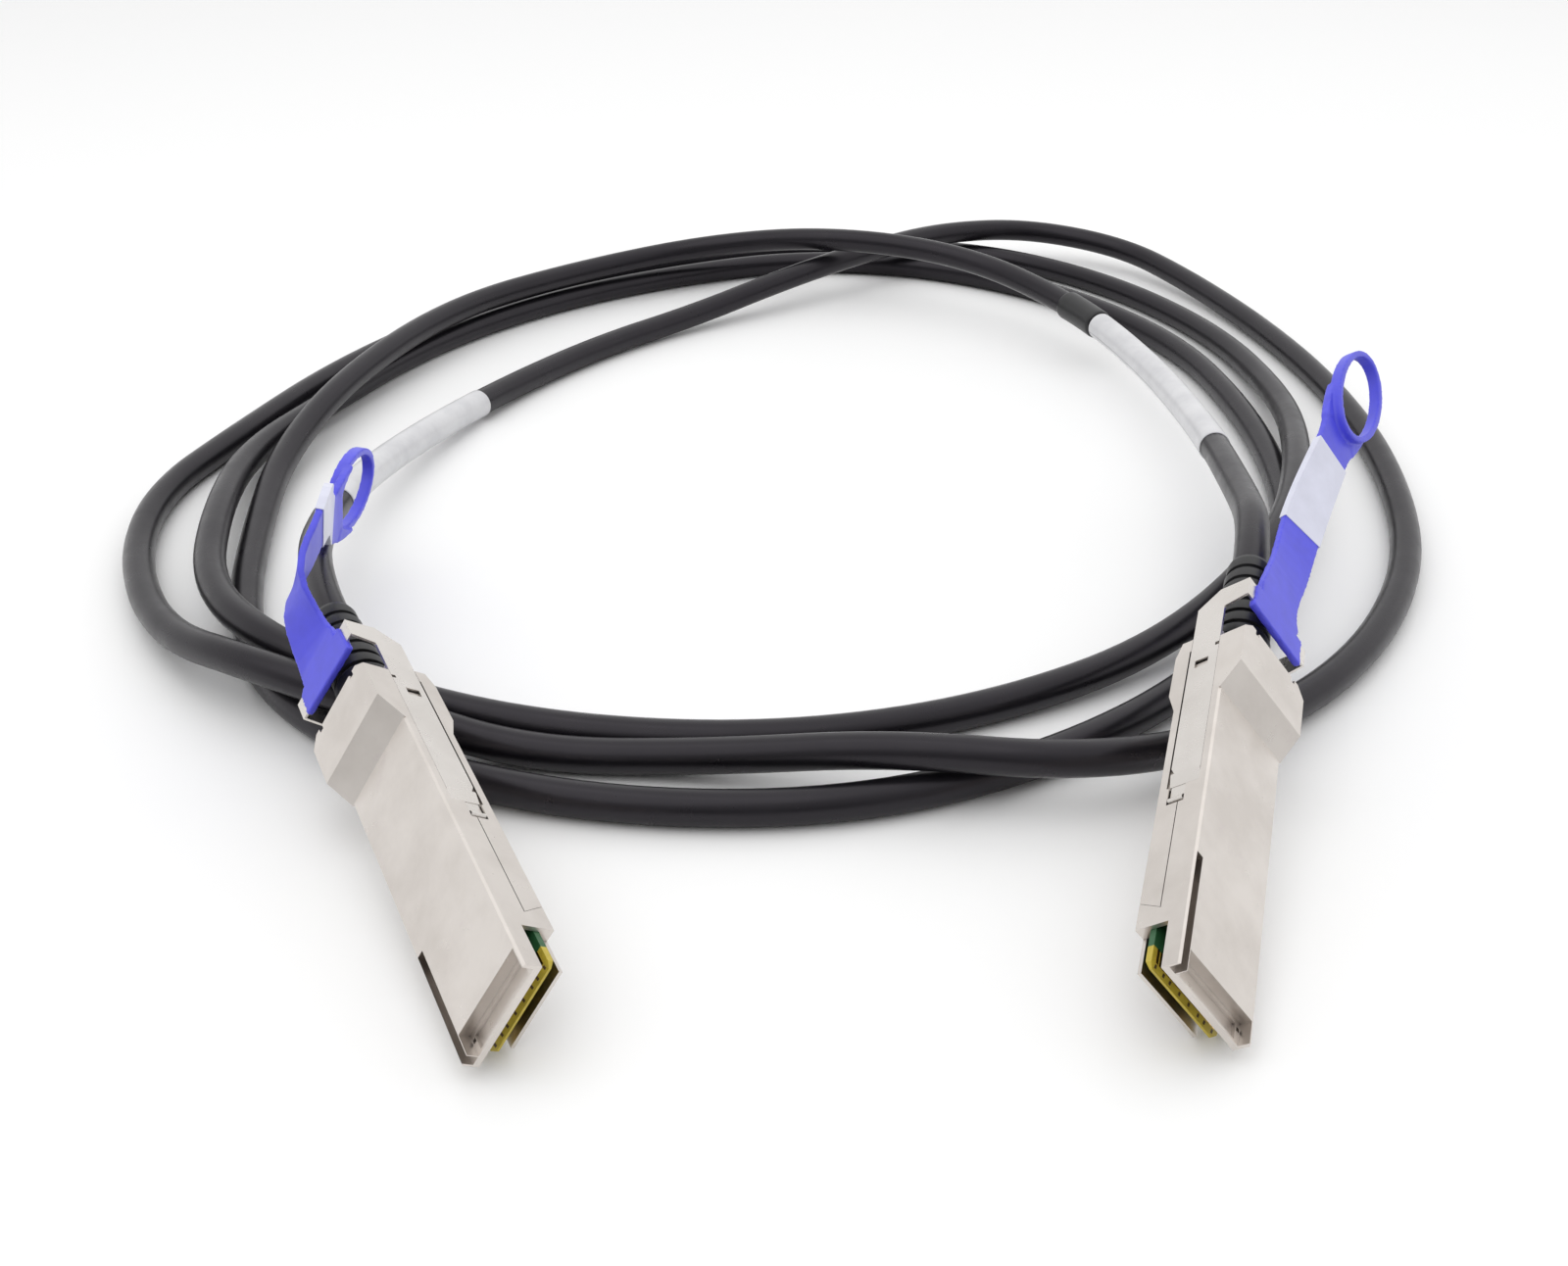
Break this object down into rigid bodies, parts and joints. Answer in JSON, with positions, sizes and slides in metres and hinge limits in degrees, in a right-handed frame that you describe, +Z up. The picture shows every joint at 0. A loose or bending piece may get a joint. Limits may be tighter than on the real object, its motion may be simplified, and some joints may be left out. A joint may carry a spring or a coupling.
{
  "type": "direct attach copper cable",
  "caption": "Coiled round black cable with a flat metal plug-in connector at each end, each with a sliding side latch and a looped blue pull tab.",
  "frame": {"origin": "on the table, at the middle of the box around the two connectors with their pull tabs", "axes": "+Z up from the table, +Y from the connectors' noses towards the coil, +X from the left connector to the right one"},
  "size_m": [0.2973, 0.379, 0.0492],
  "materials": {
    "nickel_shell": "satin nickel plate on a die casting",
    "latch_sheet": "satin nickel plate on spring sheet",
    "blue_tab": "moulded blue thermoplastic, satin",
    "label_film": "blank wrap-around film label",
    "black_boot": "moulded black strain relief",
    "black_jacket": "extruded black cable jacket, matte",
    "black_shrink": "black shrink sleeve",
    "ferrule_brass": "crimped brass ferrule",
    "card_green": "solder mask on laminate",
    "contact_gold": "gold plate",
    "chip_black": "moulded chip package",
    "potting": "moulded potting compound",
    "lead_insulation": "insulated conductor pairs",
    "screw_steel": "zinc plated steel"
  },
  "bodies": {
    "base": {"cable_1": "black_jacket", "cable_2": "black_jacket", "cable_3": "black_jacket", "cable_4": "black_jacket", "cable_5": "black_jacket", "left_cable_label": "label_film", "right_cable_label": "label_film", "heat_shrink": "black_shrink", "left_top_shell": "nickel_shell", "left_bottom_shell": "nickel_shell", "left_boot": "black_boot", "left_cable_end": "black_jacket", "left_ferrule": "ferrule_brass", "left_paddle_card": "card_green", "left_pads_top": "contact_gold", "left_pads_bottom": "contact_gold", "left_eeprom_chip": "chip_black", "left_solder_block": "potting", "left_leads": "lead_insulation", "left_screw_a": "screw_steel", "left_screw_b": "screw_steel", "right_top_shell": "nickel_shell", "right_bottom_shell": "nickel_shell", "right_boot": "black_boot", "right_cable_end": "black_jacket", "right_ferrule": "ferrule_brass", "right_paddle_card": "card_green", "right_pads_top": "contact_gold", "right_pads_bottom": "contact_gold", "right_eeprom_chip": "chip_black", "right_solder_block": "potting", "right_leads": "lead_insulation", "right_screw_a": "screw_steel", "right_screw_b": "screw_steel"},
    "left_latch": {"left_latch_slide": "latch_sheet", "left_pull_tab": "blue_tab", "left_tab_label": "label_film"},
    "right_latch": {"right_latch_slide": "latch_sheet", "right_pull_tab": "blue_tab", "right_tab_label": "label_film"}
  },
  "joints": [
    {"name": "left_latch_pull", "type": "slide", "parent": "base", "child": "left_latch", "axis": [-0.4396, 0.8934, 0.0924], "range_m": [0, 0.0022], "stiffness_N_per_m": 800, "springref_m": -0.001},
    {"name": "right_latch_pull", "type": "slide", "parent": "base", "child": "right_latch", "axis": [0.2853, 0.945, 0.1599], "range_m": [0, 0.0022], "stiffness_N_per_m": 800, "springref_m": -0.001}
  ]
}
